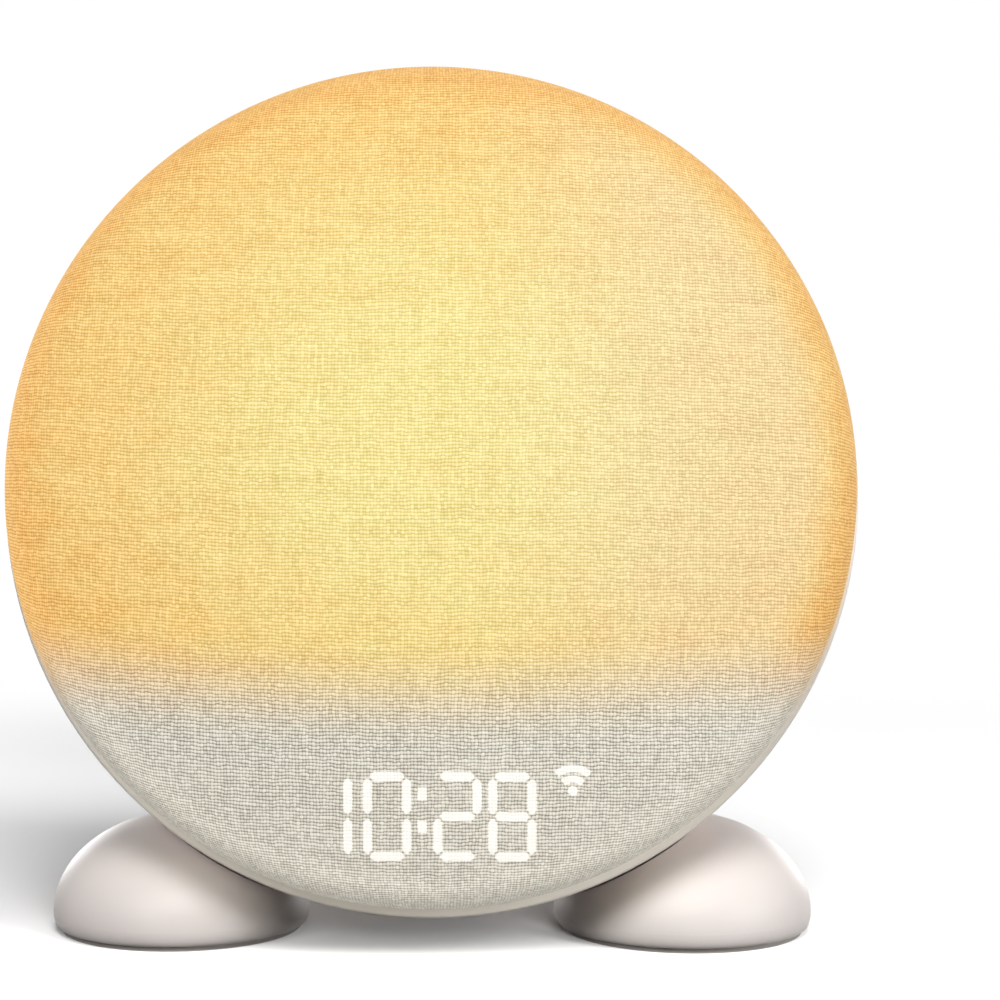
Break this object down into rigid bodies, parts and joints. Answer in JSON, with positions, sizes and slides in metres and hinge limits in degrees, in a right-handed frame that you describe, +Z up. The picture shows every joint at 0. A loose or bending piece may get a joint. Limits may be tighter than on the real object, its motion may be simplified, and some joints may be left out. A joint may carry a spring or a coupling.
{
  "type": "sunrise alarm clock",
  "caption": "Round fabric-fronted sunrise lamp, clock and speaker leaning back on two domed feet, with push buttons and a power inlet at the rear.",
  "frame": {"origin": "on the surface it stands on, under the middle of the bounding box", "axes": "+Z up, the fabric front faces -Y and looks up by 10 degrees, +X to the viewer's right"},
  "size_m": [0.18, 0.0904, 0.1839],
  "materials": {
    "woven_fabric": "plain weave, matt",
    "opal_plastic": "opal, light-passing",
    "housing_plastic": "fine texture, satin",
    "trim_plastic": "satin",
    "button_plastic": "satin",
    "grey_plastic": "as moulded",
    "white_plastic": "semi-gloss, reflecting",
    "black_plastic": "as moulded",
    "display_light": "opal, lit",
    "white_board": "white solder mask",
    "green_board": "green solder mask",
    "led_resin": "clear resin over phosphor",
    "soft_rubber": "matt",
    "steel": "zinc plated",
    "copper_wire": "enamelled winding",
    "speaker_paper": "pressed paper",
    "spider_cloth": "resined cloth",
    "aluminium_can": "sleeved can",
    "flat_cable": "polyimide film",
    "wire_sleeve": "insulation"
  },
  "bodies": {
    "housing": {"board_chips": "black_plastic", "board_screws": "steel", "button_board": "green_board", "button_ribbon": "flat_cable", "capacitors": "aluminium_can", "connectors": "white_plastic", "display_board": "green_board", "display_frame": "black_plastic", "display_ribbon": "flat_cable", "display_segments": "display_light", "fabric_clamp_ring": "grey_plastic", "fabric_cover": "woven_fabric", "foot_base_left": "grey_plastic", "foot_base_right": "grey_plastic", "foot_left": "housing_plastic", "foot_pad_left": "soft_rubber", "foot_pad_right": "soft_rubber", "foot_right": "housing_plastic", "foot_screws": "steel", "front_diffuser": "opal_plastic", "front_screws": "steel", "glow_leds": "led_resin", "housing_screws": "steel", "inlet_board": "green_board", "inlet_leads": "wire_sleeve", "inlet_shell": "steel", "inlet_tongue": "black_plastic", "led_board": "white_board", "led_link": "black_plastic", "light_baffle": "grey_plastic", "light_reflector": "white_plastic", "main_board": "green_board", "mid_frame": "grey_plastic", "rear_shell": "housing_plastic", "speaker_frame": "black_plastic", "speaker_gasket": "soft_rubber", "speaker_grille": "housing_plastic", "speaker_leads": "wire_sleeve", "speaker_magnet": "steel", "speaker_screws": "steel", "speaker_spider": "spider_cloth", "speaker_surround": "soft_rubber", "switch_bodies": "black_plastic", "trim_ring": "trim_plastic", "wireless_module": "steel"},
    "snooze_key": {"snooze_button": "button_plastic", "snooze_plunger": "black_plastic"},
    "light_key": {"light_button": "button_plastic", "light_plunger": "black_plastic"},
    "volume_down_key": {"volume_down_button": "button_plastic", "volume_down_plunger": "black_plastic"},
    "volume_up_key": {"volume_up_button": "button_plastic", "volume_up_plunger": "black_plastic"},
    "sound_key": {"sound_button": "button_plastic", "sound_plunger": "black_plastic"},
    "speaker_diaphragm": {"speaker_cone": "speaker_paper", "dust_cap": "speaker_paper", "voice_coil": "copper_wire"}
  },
  "joints": [
    {"name": "snooze_press", "type": "slide", "parent": "housing", "child": "snooze_key", "axis": [0, -0.9848, 0.1736], "range_m": [0, 0.0007], "stiffness_N_per_m": 1500},
    {"name": "light_press", "type": "slide", "parent": "housing", "child": "light_key", "axis": [0, -0.9848, 0.1736], "range_m": [0, 0.0007], "stiffness_N_per_m": 1500},
    {"name": "volume_down_press", "type": "slide", "parent": "housing", "child": "volume_down_key", "axis": [0, -0.9848, 0.1736], "range_m": [0, 0.0007], "stiffness_N_per_m": 1500},
    {"name": "volume_up_press", "type": "slide", "parent": "housing", "child": "volume_up_key", "axis": [0, -0.9848, 0.1736], "range_m": [0, 0.0007], "stiffness_N_per_m": 1500},
    {"name": "sound_press", "type": "slide", "parent": "housing", "child": "sound_key", "axis": [0, -0.9848, 0.1736], "range_m": [0, 0.0007], "stiffness_N_per_m": 1500},
    {"name": "cone_stroke", "type": "slide", "parent": "housing", "child": "speaker_diaphragm", "axis": [0, -0.9848, 0.1736], "range_m": [-0.001, 0.001], "stiffness_N_per_m": 1200, "deforming": ["speaker_surround", "speaker_spider"]}
  ]
}
